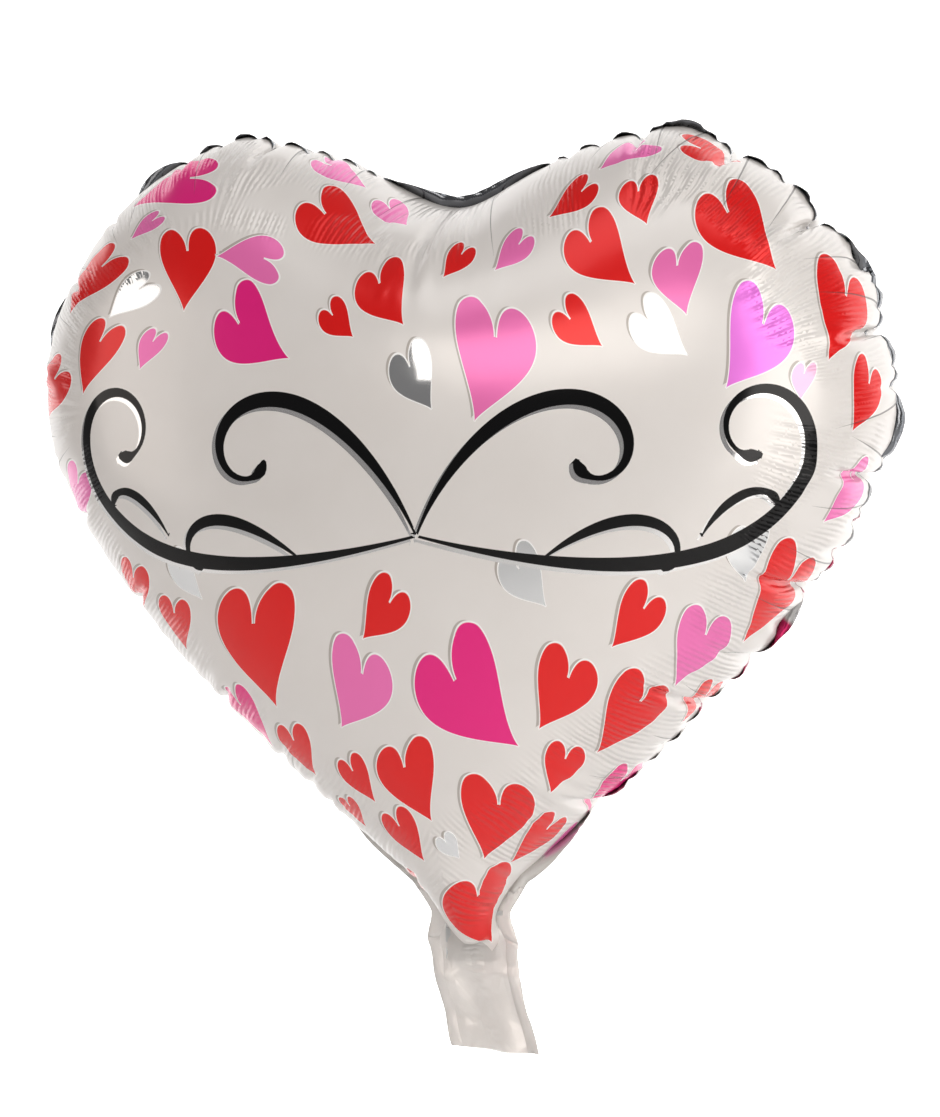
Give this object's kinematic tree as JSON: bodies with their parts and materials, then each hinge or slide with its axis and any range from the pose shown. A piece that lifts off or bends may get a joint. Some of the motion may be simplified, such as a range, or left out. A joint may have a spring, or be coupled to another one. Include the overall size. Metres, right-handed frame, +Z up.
{
  "type": "heart-shaped foil balloon",
  "caption": "Inflated heart-shaped foil balloon with two domed film panels, a puckered heat-sealed rim, a flat filling neck and a self-sealing valve inside.",
  "frame": {"origin": "the point at the top of the neck, midway through it, where a ribbon is tied", "axes": "+Z up towards the lobes, the printed front faces -Y, +X to the right seen from the front"},
  "size_m": [0.377, 0.196, 0.3915],
  "materials": {
    "printed_film": "metallised film with a pearl-white satin print and metallic red, pink and silver hearts",
    "silver_foil": "bare metallised film, bright silver, puckered",
    "clear_foil": "unprinted silvery translucent film, crinkled",
    "valve_film": "clear soft polyethylene film",
    "bond": "heat-sealed, slightly frosted"
  },
  "bodies": {
    "envelope": {"front_panel": "printed_film", "back_panel": "printed_film", "rim_seal": "silver_foil", "valve_throat": "valve_film"},
    "valve_front": {"valve_front_film": "valve_film"},
    "valve_back": {"valve_back_film": "valve_film"},
    "neck": {"neck_front_film": "clear_foil", "neck_back_film": "clear_foil", "neck_left_seal": "clear_foil", "neck_right_seal": "clear_foil", "inlet_front_film": "valve_film", "inlet_back_film": "valve_film", "inlet_front_bond": "bond", "inlet_back_bond": "bond"},
    "tail": {"tail_front_film": "clear_foil", "tail_back_film": "clear_foil", "tail_left_seal": "clear_foil", "tail_right_seal": "clear_foil"}
  },
  "joints": [
    {"name": "neck_bend", "type": "hinge", "parent": "envelope", "child": "neck", "pos_m": [0, 0, -0.0015], "axis": [1, 0, 0], "range_deg": [-60, 60]},
    {"name": "tail_fold", "type": "hinge", "parent": "neck", "child": "tail", "pos_m": [0, 0, -0.022], "axis": [1, 0, 0], "range_deg": [-80, 80]},
    {"name": "valve_front_flex", "type": "hinge", "parent": "envelope", "child": "valve_front", "pos_m": [0, -0.0004, 0.004], "axis": [1, 0, 0], "range_deg": [0, 10], "stiffness_Nm_per_rad": 0.001},
    {"name": "valve_back_flex", "type": "hinge", "parent": "envelope", "child": "valve_back", "pos_m": [0, 0.0004, 0.004], "axis": [1, 0, 0], "range_deg": [-10, 0], "stiffness_Nm_per_rad": 0.001}
  ],
  "couplings": [
    {"joint": "valve_back_flex", "follows": "valve_front_flex", "ratio": -1}
  ]
}
